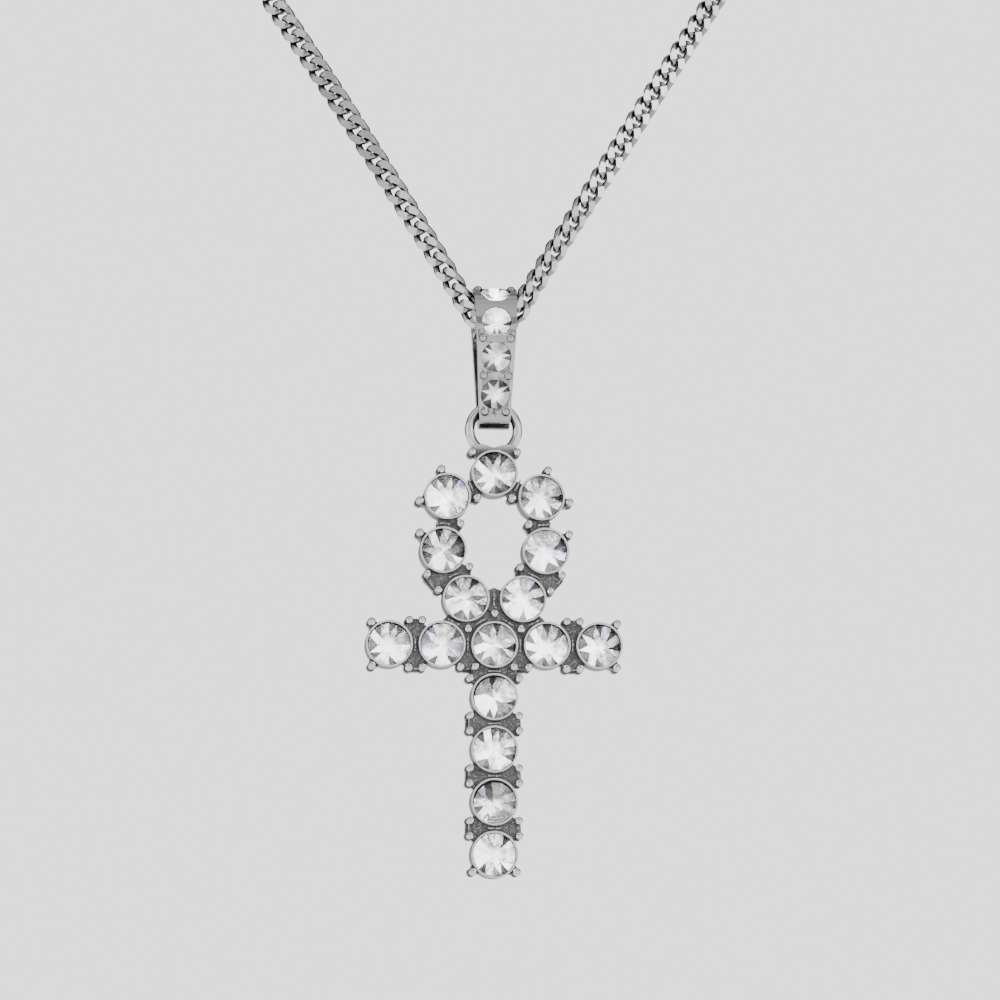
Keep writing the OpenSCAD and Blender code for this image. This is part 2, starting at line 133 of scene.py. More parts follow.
# Tones of the grain's hollows, the blotches and the flecks, as shares of the cast silver
HOLLOW_TONE, BLOTCH_TONE, FLECK_TONE = 0.55, 1.6, 3.5
# Painted shade in the cast frame's crevices: its reach, and the share of brightness left
SHADE_CREVICE_REACH = 0.3 * MM
SHADE_CREVICE_LEFT = 0.45
GRAIN_DEPTH = 0.06 * MM
SOFT_EDGE = 0.06 * MM

# Back facets of the stones: their depth behind the girdle, and how bright and how dark the
# reflections painted into their colour are
BACK_DEPTH = 0.06 * MM
BRIGHT_FACETS = (0.66, 1.0)
DARK_FACETS = (0.5, 1.6)
MAIN_DARK_SHARE = 0.15
MAIN_DARK_LIFT = 2.2

# The studio's brightness round the pendant, from behind by the left, the front and the right
STUDIO_ROUND = [
    (0.0, 0.35), (0.08, 0.3), (0.1, 0.03), (0.2, 0.03), (0.24, 0.5), (0.3, 0.5),
    (0.315, 1.0), (0.345, 1.0), (0.36, 0.42), (0.41, 0.38), (0.42, 0.18), (0.43, 0.18),
    (0.445, 0.44), (0.5, 0.44), (0.55, 0.44), (0.562, 0.18), (0.57, 0.18), (0.588, 1.0),
    (0.632, 1.0), (0.645, 0.42), (0.7, 0.42), (0.72, 0.5), (0.76, 0.5), (0.8, 0.03),
    (0.9, 0.03), (0.92, 0.3), (1.0, 0.35),
]
# And from below to above
STUDIO_HEIGHT = [
    (0.0, 0.35), (0.25, 0.5), (0.35, 1.0), (0.66, 1.0),
    (0.72, 0.3), (0.78, 0.3), (0.83, 0.75), (1.0, 0.6),
]
# The dark reflection of the camera's lens
LENS_EDGE = 0.002
LENS_LEFT = 0.15
# Name, place in metres, size in metres and power in watts
LIGHTS = (
    ("left_box", (-0.9, -1.1, 0.6), 0.8, 8.0),
    ("right_box", (1.0, -0.9, 0.5), 0.8, 6.0),
    ("top_box", (0.05, -0.1, 1.2), 1.6, 30.0),
)


def millimetres(default, name, text, low, high):
    """A length property that is given in millimetres and kept in metres."""
    return FloatProperty(
        name=name, description=text, default=default * MM, min=low * MM, max=high * MM,
        unit="LENGTH", precision=5,
    )


def colour(default, name, text):
    """A colour property."""
    return FloatVectorProperty(
        name=name, description=text, default=default, size=3, min=0, max=1, subtype="COLOR"
    )


def share(default, name, text, high=1.0):
    """A plain number from nothing to its highest value."""
    return FloatProperty(name=name, description=text, default=default, min=0, max=high)


class ChainSizes(bpy.types.PropertyGroup):
    """Sizes of the curb chain."""

    pitch: millimetres(1.58, "Pitch", "Distance from one link to the next", 1.2, 2.5)
    wire: millimetres(0.64, "Wire", "Diameter of a link's wire", 0.4, 0.8)
    width: millimetres(2.08, "Width", "Width of the chain across its flat face", 1.6, 3)
    thickness: millimetres(0.86, "Thickness", "Thickness between the cut faces", 0.6, 1.4)
    play: millimetres(0.06, "Play", "Free length between two links", 0, 0.2)
    twist: FloatProperty(
        name="Link twist", description="Turn of a link's end from its middle",
        default=math.radians(-56), subtype="ANGLE",
    )
    bail_twist: FloatProperty(
        name="Twist in the bail", description="Turn of the links where they pass the bail",
        default=math.radians(38), subtype="ANGLE",
    )
    bail_reach: millimetres(14, "Twisted length", "Distance in which that turn fades", 5, 40)
    sides: IntProperty(name="Sides", description="Sides of a link", default=16, min=10, max=16)


class MetalLooks(bpy.types.PropertyGroup):
    """Colours and polish of the silver."""

    bright: colour((0.5, 0.5, 0.508), "Bright silver", "Colour of the polished metal")
    rims: colour((0.66, 0.66, 0.665), "Rims", "Colour of the polished rims, prongs and ring")
    # The cast silver's dark colour is partly the matt metal's own grey and partly painted shade
    # of the recesses
    cast: colour((0.15, 0.15, 0.152), "Cast silver", "Colour of the metal between the cups")
    # Painted light and shade on the chain: its cut flats lighter, the metal beside them darker
    flat: colour((0.68, 0.68, 0.685), "Flats", "Colour of the links' cut flats")
    beside: colour((0.3, 0.3, 0.305), "Between flats", "Colour of the links beside their flats")
    polish: share(0.13, "Polish", "Roughness of the polished metal")
    cast_roughness: share(0.5, "Cast roughness", "Roughness of the unpolished metal")
    grain: millimetres(0.11, "Grain", "Size of the grains of the unpolished metal", 0.02, 1)


class StoneLooks(bpy.types.PropertyGroup):
    """Look of the cut stones."""

    clear: colour((1.0, 1.0, 1.0), "Clear", "Colour of the stones")
    ior: FloatProperty(
        name="Refraction", description="Index of refraction", default=1.34, min=1, max=2.6
    )
    foil: share(0.2, "Foil", "Roughness of the bright backing behind the stones")
    small_foil: share(0.32, "Small foil", "The same for the bail's small stones")
    # Painted reflections in the back facets: the share and brightness of the dark ones, and
    # painted blue flashes
    dark_share: share(0.47, "Dark facets", "Share of the back facets that mirror the dark")
    dark_facet: share(0.09, "Dark", "Brightness of those facets")
    fire_share: share(0.03, "Fire", "Share of the back facets with a blue flash")
    fire: colour((0.62, 0.66, 1.0), "Flash", "Colour of the flash")
    seed: IntProperty(name="Seed", description="Seed of the order of the facets", default=11)


class StageLooks(bpy.types.PropertyGroup):
    """Camera and light."""

    azimuth: FloatProperty(
        name="Azimuth", description="Turn of the camera round the pendant",
        default=math.radians(-5.5), subtype="ANGLE",
    )
    elevation: FloatProperty(
        name="Elevation", description="Height of the camera above the level",
        default=math.radians(-8.5), subtype="ANGLE",
    )
    frame_width: millimetres(86, "Frame width", "Width of the view at the pendant", 40, 400)
    lens: FloatProperty(
        name="Lens", description="Focal length in millimetres", default=135, min=20, max=400
    )
    floor: colour((0.8, 0.8, 0.8), "Floor", "Colour of the floor and the backdrop")
    camera_spot: FloatProperty(
        name="Lens spot", description="Size of the camera's dark reflection",
        default=math.radians(4), subtype="ANGLE",
    )
    backdrop: share(2.6, "Backdrop", "Brightness of the backdrop", 4)
    studio: share(3.2, "Studio", "Brightness of the panels round the pendant", 8)
    sparkle: share(7.5, "Sparkle", "Brightness that the cut stones send back", 12)


# Materials


class Nodes:
    """Short calls for building a material's nodes."""

    def __init__(self, tree):
        self.tree = tree

    def add(self, kind, **values):
        node = self.tree.nodes.new(kind)
        for name, value in values.items():
            setattr(node, name, value)
        return node

    def link(self, source, target):
        self.tree.links.new(source, target)

    def math(self, operation, a, b=0.0, clamp=False):
        node = self.add("ShaderNodeMath", operation=operation, use_clamp=clamp)
        for socket, value in zip(node.inputs, (a, b)):
            if isinstance(value, (int, float)):
                socket.default_value = value
            else:
                self.link(value, socket)
        return node.outputs[0]

    def split(self, vector):
        node = self.add("ShaderNodeSeparateXYZ")
        self.link(vector, node.inputs[0])
        return node.outputs

    def place(self):
        """Object coordinates, whole and split into x, y and z."""
        coords = self.add("ShaderNodeTexCoord")
        return coords.outputs["Object"], self.split(coords.outputs["Object"])

    def facing(self):
        """How far the surface looks forward or back, from none to one."""
        coords = self.add("ShaderNodeTexCoord")
        return self.math("ABSOLUTE", self.split(coords.outputs["Normal"])[1])

    def noise(self, vector, size, detail=2.0, roughness=0.5):
        """Noise whose grains have about the given size in metres."""
        node = self.add("ShaderNodeTexNoise")
        node.inputs["Scale"].default_value = 1 / size
        node.inputs["Detail"].default_value = detail
        node.inputs["Roughness"].default_value = roughness
        self.link(vector, node.inputs["Vector"])
        return node.outputs["Fac"]

    def band(self, value, middle, half):
        """One near the middle value, falling to nothing at half a band away."""
        away = self.math("ABSOLUTE", self.math("SUBTRACT", value, middle))
        return self.steps(away, half * 0.6, half, 1, 0)

    def steps(self, value, low, high, out_low=0.0, out_high=1.0):
        """The value's range from low to high spread over the range given out."""
        node = self.add("ShaderNodeMapRange", clamp=True)
        for socket, number in zip(node.inputs[1:5], (low, high, out_low, out_high)):
            socket.default_value = number
        self.link(value, node.inputs[0])
        return node.outputs[0]

    def between(self, value, zero, reach, out_low=0.0, out_high=1.0):
        """Steps between two distances, in millimetres, from a zero."""
        low, high = (zero + distance * MM for distance in reach)
        return self.steps(value, low, high, out_low, out_high)

    def mix_colour(self, factor, a, b):
        """The first colour, and the second where the factor is one."""
        node = self.add("ShaderNodeMix", data_type="RGBA")
        for k, value in ((0, factor), (6, a), (7, b)):
            socket = node.inputs[k]
            if hasattr(value, "is_linked"):
                self.link(value, socket)
            elif hasattr(value, "__len__"):
                socket.default_value = (*value, 1) if len(value) == 3 else value
            else:
                socket.default_value = value
        return node.outputs[2]

    def multiply(self, a, b):
        """One colour or grey times another."""
        node = self.add("ShaderNodeMix", data_type="RGBA", blend_type="MULTIPLY")
        node.inputs[0].default_value = 1
        self.link(a, node.inputs[6])
        self.link(b, node.inputs[7])
        return node.outputs[2]

    def ramp(self, value, stops):
        """Greys that follow the value from stop to stop."""
        node = self.add("ShaderNodeValToRGB")
        ramp = node.color_ramp
        ramp.interpolation = "EASE"
        while len(ramp.elements) < len(stops):
            ramp.elements.new(0.5)
        for element, (at, grey) in zip(ramp.elements, stops):
            element.position = at
            element.color = (grey, grey, grey, 1)
        self.link(value, node.inputs[0])
        return node.outputs[0]

    def background(self, colour, strength):
        """A background's shader of the colour."""
        node = self.add("ShaderNodeBackground")
        self.link(colour, node.inputs["Color"])
        node.inputs["Strength"].default_value = strength
        return node.outputs[0]

    def either(self, choice, a, b):
        """The first shader, and the second where the choice is one."""
        node = self.add("ShaderNodeMixShader")
        for socket, source in zip(node.inputs, (choice, a, b)):
            self.link(source, socket)
        return node.outputs[0]

    def rounded(self, radius):
        """Normals that soften the edges."""
        node = self.add("ShaderNodeBevel", samples=6)
        node.inputs["Radius"].default_value = radius
        return node.outputs[0]

    def shade_in_hollows(self, base, reach, left):
        """The base colour, darkened by painted shade in hollows that are narrower than the
        reach.
        """
        node = self.add("ShaderNodeAmbientOcclusion", samples=8)
        node.inputs["Distance"].default_value = reach
        return self.multiply(base, self.steps(node.outputs["AO"], *OPEN_RANGE, left, 1))

    def bump(self, height, strength, distance, normal=None):
        node = self.add("ShaderNodeBump")
        node.inputs["Strength"].default_value = strength
        node.inputs["Distance"].default_value = distance
        self.link(height, node.inputs["Height"])
        if normal is not None:
            self.link(normal, node.inputs["Normal"])
        return node.outputs[0]


def new_material(name):
    """A material with a Principled shader, and its nodes."""
    material = bpy.data.materials.new(name)
    material.use_nodes = True
    shader = material.node_tree.nodes["Principled BSDF"]
    return material, Nodes(material.node_tree), shader


def polished_silver(name, looks, scratch_size, wear=0.5, edges=None, flats=None, sides=1.0):
    """Polished silver with faint hairlines and a slightly uneven polish.

    Where it names an attribute of the flats, the flats take the lighter flat colour as a
    painted highlight, and the metal beside them is darker with painted shade. The brightness of
    the sides is a share of that of the metal which looks forward or back: painted shade on the
    sides.
    """
    material, n, shader = new_material(name)
    vector, _ = n.place()
    cloud = n.noise(vector, CLOUD, 3)
    shader.inputs["Metallic"].default_value = 1
    tone_and_painted_reflection = n.steps(cloud, 0.35, 0.75)
    shown = looks.bright if flats is None else looks.flat
    base = n.mix_colour(tone_and_painted_reflection, [c * CLOUD_TONE for c in shown], shown)
    # The flats' lighter colour is a painted highlight, the darker colour beside them painted
    # shade
    if flats is not None:
        cut = n.add("ShaderNodeAttribute", attribute_name=flats)
        base = n.mix_colour(cut.outputs["Fac"], looks.beside, base)
    if sides < 1:
        # Painted shade: surfaces that look sideways get a darker base colour
        base = n.multiply(base, n.steps(n.facing(), *PAINTED_SIDE_SHADE_RANGE, sides, 1))
    # Painted shade: the base colour is darker in narrow hollows
    n.link(n.shade_in_hollows(base, SHADE_HOLLOW_REACH, SHADE_HOLLOW_LEFT), shader.inputs["Base Color"])
    stretch = n.add("ShaderNodeMapping")
    stretch.inputs["Scale"].default_value = HAIR_STRETCH
    stretch.inputs["Rotation"].default_value = HAIR_TURN
    n.link(vector, stretch.inputs["Vector"])
    hairs = n.noise(stretch.outputs[0], scratch_size, 4, 0.7)
    wear_and_highlight = n.math("MULTIPLY", hairs, 0.1 * wear)
    rough = n.math("ADD", wear_and_highlight, n.steps(cloud, 0.3, 0.8, 0, 0.05))
    n.link(n.math("ADD", rough, looks.polish - 0.05), shader.inputs["Roughness"])
    softened = edges and n.rounded(edges)
    n.link(n.bump(hairs, 0.12 * wear, HAIR_DEPTH, softened), shader.inputs["Normal"])
    return material


def cast_silver(looks):
    """Bright on the cups' rims, prongs and ring, and matt and grainy down between the cups,
    where painted shade also darkens the colour; with painted highlights along the webs' seams
    and sills.
    """
    material, n, shader = new_material("cast_silver")
    vector, (_, y, z) = n.place()
    rim_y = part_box("stone_1")[0].y + STONE_RISE
    web_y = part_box("ankh_frame")[1].y - WEB_DEPTH
    top_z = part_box("stone_1")[1].z
    # Where the metal is matt and darkened by painted shade: deep down or on an upright wall,
    # below the ring
    low = n.between(y, rim_y, DULL_DEPTHS)
    upright = n.steps(n.facing(), *WALL_FACING, 1, 0)
    wall = n.math("MULTIPLY", upright, n.between(y, rim_y, DULL_WALLS))
    deep = n.math("MAXIMUM", low, wall)
    under_ring = n.between(z, top_z, RING_HEIGHTS, 1, 0)
    # Painted highlights along the webs' seams and sills: the polished colour there
    seam = n.math("MULTIPLY", n.band(y, web_y - SEAM_DEPTH, SEAM_HALF), SEAM_SHARE)
    sill = n.band(y, web_y + SILL_DEPTH, SILL_HALF)
    ragged = n.steps(n.noise(vector, RAGGED, 2), 0.42, 0.56)
    # Painted highlight: the seams and sills take the bright polished colour, broken by the
    # ragged noise
    wear_and_highlight = n.math("MULTIPLY", n.math("MAXIMUM", seam, sill), ragged)
    kept = n.math("SUBTRACT", 1, wear_and_highlight)
    recess = n.math("MULTIPLY", n.math("MULTIPLY", deep, under_ring), kept)
    # Grains, lighter blotches and flecks in the matt metal
    grain = n.noise(vector, looks.grain, 3, 0.7)
    fleck = n.steps(n.noise(vector, looks.grain * 0.8, 1), 0.6, 0.68)
    blotch = n.noise(vector, BLOTCH, 2)
    shader.inputs["Metallic"].default_value = 1
    hollow, light, fleck_tone = (
        [c * tone for c in looks.cast] for tone in (HOLLOW_TONE, BLOTCH_TONE, FLECK_TONE)
    )
    dull_and_shaded = n.mix_colour(n.steps(grain, 0.3, 0.72), hollow, looks.cast)
    dull_and_shaded = n.mix_colour(n.steps(blotch, 0.35, 0.7, 0, 0.4), dull_and_shaded, light)
    dull_and_shaded = n.mix_colour(fleck, dull_and_shaded, fleck_tone)
    behind = n.between(y, web_y, BACK_DEPTHS, 0, BACK_SHARE)
    dull_and_shaded = n.mix_colour(behind, dull_and_shaded, looks.rims)
    # Painted shade: the recesses take the darker cast colour, and the crevices are darker still
    base = n.shade_in_hollows(n.mix_colour(recess, looks.rims, dull_and_shaded), SHADE_CREVICE_REACH, SHADE_CREVICE_LEFT)
    n.link(base, shader.inputs["Base Color"])
    smooth_rough = n.steps(blotch, 0.3, 0.8, looks.polish, looks.polish + 0.08)
    matt = looks.cast_roughness
    cast_rough = n.steps(grain, 0.3, 0.7, matt - 0.12, matt + 0.1)
    rough = n.add("ShaderNodeMix", data_type="FLOAT")
    n.link(recess, rough.inputs[0])
    n.link(smooth_rough, rough.inputs[2])
    n.link(cast_rough, rough.inputs[3])
    n.link(rough.outputs[0], shader.inputs["Roughness"])
    height = n.math("MULTIPLY", grain, n.math("ADD", n.math("MULTIPLY", recess, 0.92), 0.08))
    n.link(n.bump(height, 0.6, GRAIN_DEPTH, n.rounded(SOFT_EDGE)), shader.inputs["Normal"])
    return material


def clear_stone(looks):
    """Clear cut stone over a bright backing, whose back facets carry painted reflections of
    light or dark in their colour.
    """
    material, n, shader = new_material("crystal")
    vector, _ = n.place()
    backing = n.add("ShaderNodeAttribute", attribute_name="backing")
    n.link(backing.outputs["Fac"], shader.inputs["Metallic"])
    tone_and_painted_reflection = n.add("ShaderNodeAttribute", attribute_name="facet_painted_reflection")
    haze = n.noise(vector, 0.6 * MM, 3)
    base = n.mix_colour(n.steps(haze, 0.3, 0.7), [c * 0.94 for c in looks.clear], looks.clear)
    # Painted reflections: each back facet's stored brightness or flash colour is painted onto
    # the backing
    n.link(n.multiply(tone_and_painted_reflection.outputs["Color"], base), shader.inputs["Base Color"])
    smooth = n.steps(haze, 0.4, 0.8, 0.01, 0.04)
    foil = n.add("ShaderNodeAttribute", attribute_name="foil")
    n.link(n.math("ADD", smooth, foil.outputs["Fac"]), shader.inputs["Roughness"])
    shader.inputs["IOR"].default_value = looks.ior
    shader.inputs["Transmission Weight"].default_value = 1
    return material


def plain(name, base, roughness):
    """One colour without a pattern."""
    material, _, shader = new_material(name)
    shader.inputs["Base Color"].default_value = (*base, 1)
    shader.inputs["Roughness"].default_value = roughness
    return material


def dress(obj, material):
    """Puts one material on every slot of an object."""
    if not obj.data.materials:
        obj.data.materials.append(material)
    for slot in obj.material_slots:
        slot.material = material


def new_object(name, data):
    """An object of the data, at the origin of the scene."""
    obj = bpy.data.objects.new(name, data)
    bpy.context.scene.collection.objects.link(obj)
    return obj


# Stones


def merged_copy(node, name, smooth=None):
    """A CAD node's mesh with its triangles joined, in an object of its own.

    Edges that turn less than the smooth angle are shaded smooth.
    """
    shape = bmesh.new()
    shape.from_mesh(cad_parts[node].data)
    bmesh.ops.remove_doubles(shape, verts=shape.verts, dist=1e-7)
    bmesh.ops.recalc_face_normals(shape, faces=shape.faces)
    for face in shape.faces:
        face.smooth = smooth is not None
    mesh = bpy.data.meshes.new(name)
    shape.to_mesh(mesh)
    shape.free()
    if smooth is not None:
        mesh.set_sharp_from_angle(angle=smooth)
    return new_object(name, mesh)


def facets(mesh):
    """The faces of a cut stone, gathered by the direction that they look in."""
    groups = {}
    for face in mesh.polygons:
        groups.setdefault(tuple(round(c, 2) + 0.0 for c in face.normal), []).append(face.index)
    return groups


def stone_axis(mesh, groups):
    """The middle of a stone's girdle and the direction that its table looks in."""

    def size(key):
        return sum(mesh.polygons[i].area for i in groups[key])

    # The largest facet that looks forward or up
    table = max((key for key in groups if key[1] < 0.3 or key[2] > 0.9), key=size)
    axis = Vector(table).normalized()
    corners = {k for i in groups[table] for k in mesh.polygons[i].vertices}
    on_table = sum((mesh.vertices[k].co for k in corners), Vector()) / len(corners)
    reach = [(v.co - on_table).cross(axis).length for v in mesh.vertices]
    rim = [v.co for v, r in zip(mesh.vertices, reach) if r > max(reach) * 0.8]
    return sum(rim, Vector()) / len(rim), axis


def set_stone(obj, chance, looks, foil):
    """Turns a stone in its seat, and stores for each of its facets a painted reflection of
    light or of the dark, or a painted blue flash, as its colour.

    Its back has main facets of several faces each, and small ones of a single face.
    """
    mesh = obj.data
    groups = facets(mesh)
    girdle, axis = stone_axis(mesh, groups)
    turn = Matrix.Rotation(chance.uniform(0, 2 * math.pi), 4, axis)
    mesh.transform(Matrix.Translation(girdle) @ turn @ Matrix.Translation(-girdle))
    backing = mesh.attributes.new("backing", "FLOAT", "FACE")
    rough = mesh.attributes.new("foil", "FLOAT", "FACE")
    tone_and_painted_reflection = mesh.attributes.new("facet_painted_reflection", "FLOAT_COLOR", "FACE")
    for key in sorted(groups):
        first = mesh.polygons[groups[key][0]]
        backed = (first.center - girdle).dot(axis) < -BACK_DEPTH
        # Painted reflection for each back facet: light, dark, or a painted blue flash
        shown = (1.0, 1.0, 1.0)
        if backed:
            shown = [chance.uniform(*BRIGHT_FACETS)] * 3
            main = len(groups[key]) > 1
            draw = chance.random()
            if draw < looks.dark_share * (MAIN_DARK_SHARE if main else 1):
                lift = MAIN_DARK_LIFT if main else 1
                shown = [looks.dark_facet * chance.uniform(*DARK_FACETS) * lift] * 3
            elif draw > 1 - looks.fire_share and not main:
                shown = looks.fire
        for i in groups[key]:
            backing.data[i].value = 1.0 if backed else 0.0
            rough.data[i].value = foil if backed else 0.0
            tone_and_painted_reflection.data[i].color = (*shown, 1.0)


# Chain


def route_points():
    """The whole route with the clasp's ends, in metres."""
    right = [Vector(p) * MM for p in ROUTE] + [Vector((chain_end_x(), 0, 0))]
    left = [Vector((-p.x, p.y, p.z)) for p in reversed(right[1:])]
    return left + right


def chain_end_x():
    """Where the chain meets the clasp's end ring."""
    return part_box("clasp")[1].x + CLASP_REACH


def smooth_path(points, step):
    """A cubic path through the points, as the source's tube follows it."""
    last = len(points) - 1

    def speed(k):
        a, b = points[max(k - 1, 0)], points[min(k + 1, last)]
        return (b - a) / ((b - points[k]).length + (points[k] - a).length)

    path = []
    for k in range(last):
        p, q = points[k], points[k + 1]
        d = (q - p).length
        count = max(1, round(d / step))
        for j in range(count):
            t = j / count
            t2, t3 = t * t, t * t * t
            path.append(
                (2 * t3 - 3 * t2 + 1) * p + (t3 - 2 * t2 + t) * d * speed(k)
                + (3 * t2 - 2 * t3) * q + (t3 - t2) * d * speed(k + 1)
            )
    path.append(points[last])
    return path


def path_curve(name, path):
    """A poly curve through the points."""
    curve = bpy.data.curves.new(name, "CURVE")
    curve.dimensions = "3D"
    spline = curve.splines.new("POLY")
    spline.points.add(len(path) - 1)
    for point, co in zip(spline.points, path):
        point.co = (*co, 1)
    return new_object(name, curve)


def curb_link(sizes):
    """One twisted and flat-cut link of the curb chain, lying along X with its face to Z."""
    radius = sizes.wire / 2
    half_l = (sizes.pitch + sizes.wire + sizes.play) / 2
    half_w = sizes.width / 2 - radius
    half_t = sizes.thickness / 2

    def centre(angle):
        c, s = math.cos(angle), math.sin(angle)
        along = half_l * math.copysign(abs(c) ** LINK_FULLNESS, c)
        out = half_w * math.copysign(abs(s) ** LINK_FULLNESS, s)
        turn = sizes.twist * along / half_l
        return Vector((along, out * math.cos(turn), out * math.sin(turn)))

    def cut_angle(room):
        """Where the cut face starts on the wire, at most at the hexagon's own corner."""
        return math.asin(max(SMALLEST_CUT, min(room / radius, HEXAGON_CORNER)))

    shape = bmesh.new()
    rings = []
    for k in range(sizes.sides):
        angle = 2 * math.pi * (k + 0.5) / sizes.sides
        here = centre(angle)
        ahead = (centre(angle + LINK_TURN_STEP) - centre(angle - LINK_TURN_STEP)).normalized()
        side = ahead.cross(Vector((0, 0, 1))).normalized()
        face = side.cross(ahead)
        top = cut_angle((half_t - here.z) / face.z)
        low = cut_angle((half_t + here.z) / face.z)
        ring = []
        for a in (0, top, math.pi - top, math.pi, math.pi + low, 2 * math.pi - low):
            point = here + radius * (math.cos(a) * side + math.sin(a) * face)
            point.z = max(-half_t, min(half_t, point.z))
            ring.append(shape.verts.new(point))
        rings.append(ring)
    for ring, following in zip(rings, rings[1:] + rings[:1]):
        for j in range(len(ring)):
            i = (j + 1) % len(ring)
            shape.faces.new((ring[j], ring[i], following[i], following[j]))
    bmesh.ops.recalc_face_normals(shape, faces=shape.faces)
    for face in shape.faces:
        face.smooth = any(abs(v.co.z) < half_t - ON_CUT_FACE for v in face.verts)
    mesh = bpy.data.meshes.new("curb_link")
    shape.to_mesh(mesh)
    shape.free()
    cut = mesh.attributes.new("cut_flat", "FLOAT", "FACE")
    for face in mesh.polygons:
        cut.data[face.index].value = 0.0 if face.use_smooth else 1.0
    return new_object("curb_link", mesh)


def link_tree(material):
    """A tree that sets links along a curve, with their faces turned outward."""
    tree = bpy.data.node_groups.new("Chain of links", "GeometryNodeTree")
    sockets = tree.interface
    sockets.new_socket("Geometry", in_out="OUTPUT", socket_type="NodeSocketGeometry")
    sockets.new_socket("Geometry", in_out="INPUT", socket_type="NodeSocketGeometry")
    inputs = {}
    for name, kind in (
        ("Link", "NodeSocketObject"),
        ("Count", "NodeSocketInt"),
        ("Middle", "NodeSocketVector"),
        ("Bail twist", "NodeSocketFloat"),
        ("Bail reach", "NodeSocketFloat"),
    ):
        inputs[name] = sockets.new_socket(name, in_out="INPUT", socket_type=kind).identifier
    n = Nodes(tree)
    start = n.add("NodeGroupInput")
    end = n.add("NodeGroupOutput")
    # A point for each link
    points = n.add("GeometryNodeResampleCurve", mode="COUNT")
    n.link(start.outputs["Geometry"], points.inputs["Curve"])
    n.link(start.outputs["Count"], points.inputs["Count"])
    # Turned along the route, with the face away from the middle of the loop
    tangent = n.add("GeometryNodeInputTangent")
    position = n.add("GeometryNodeInputPosition")
    outward = n.add("ShaderNodeVectorMath", operation="SUBTRACT")
    n.link(position.outputs[0], outward.inputs[0])
    n.link(start.outputs["Middle"], outward.inputs[1])
    level = n.add("ShaderNodeVectorMath", operation="MULTIPLY")
    level.inputs[1].default_value = (1, 1, 0)
    n.link(outward.outputs[0], level.inputs[0])
    along = n.add("FunctionNodeAlignRotationToVector", axis="X")
    n.link(tangent.outputs[0], along.inputs["Vector"])
    facing = n.add("FunctionNodeAlignRotationToVector", axis="Z", pivot_axis="X")
    n.link(along.outputs[0], facing.inputs["Rotation"])
    n.link(level.outputs[0], facing.inputs["Vector"])
    # Turned a little further near the bail, at the front
    side, depth, _ = n.split(outward.outputs[0])
    away = n.math("ABSOLUTE", side)
    fade = n.add("ShaderNodeMapRange", interpolation_type="SMOOTHSTEP", clamp=True)
    n.link(away, fade.inputs[0])
    n.link(start.outputs["Bail reach"], fade.inputs[2])
    fade.inputs[3].default_value = 1
    fade.inputs[4].default_value = 0
    near = n.math("MULTIPLY", fade.outputs[0], n.math("LESS_THAN", depth, 0))
    turn = n.math("MULTIPLY", near, start.outputs["Bail twist"])
    spin = n.add("FunctionNodeAxisAngleToRotation")
    spin.inputs["Axis"].default_value = (1, 0, 0)
    n.link(turn, spin.inputs["Angle"])
    turned = n.add("FunctionNodeRotateRotation", rotation_space="LOCAL")
    n.link(facing.outputs[0], turned.inputs["Rotation"])
    n.link(spin.outputs[0], turned.inputs["Rotate By"])
    # The links themselves, as one mesh
    info = n.add("GeometryNodeObjectInfo")
    n.link(start.outputs["Link"], info.inputs["Object"])
    spread = n.add("GeometryNodeInstanceOnPoints")
    to_points = n.add("GeometryNodeCurveToPoints", mode="EVALUATED")
    keep = n.add("GeometryNodeCaptureAttribute", domain="POINT")
    keep.capture_items.new("ROTATION", "Turn")
    n.link(points.outputs[0], keep.inputs["Geometry"])
    n.link(turned.outputs[0], keep.inputs["Turn"])
    n.link(keep.outputs["Geometry"], to_points.inputs["Curve"])
    n.link(to_points.outputs["Points"], spread.inputs["Points"])
    n.link(info.outputs["Geometry"], spread.inputs["Instance"])
    n.link(keep.outputs["Turn"], spread.inputs["Rotation"])
    real = n.add("GeometryNodeRealizeInstances")
    n.link(spread.outputs[0], real.inputs[0])
    paint = n.add("GeometryNodeSetMaterial")
    paint.inputs["Material"].default_value = material
    n.link(real.outputs[0], paint.inputs[0])
    n.link(paint.outputs[0], end.inputs[0])
    return tree, inputs


def plain_mesh(obj, name):
    """The evaluated object as a plain mesh in a new object, in place of the old one."""
    graph = bpy.context.evaluated_depsgraph_get()
    mesh = bpy.data.meshes.new_from_object(obj.evaluated_get(graph))
    mesh.name = name
    bpy.data.objects.remove(obj)
    return new_object(name, mesh)


# Operators


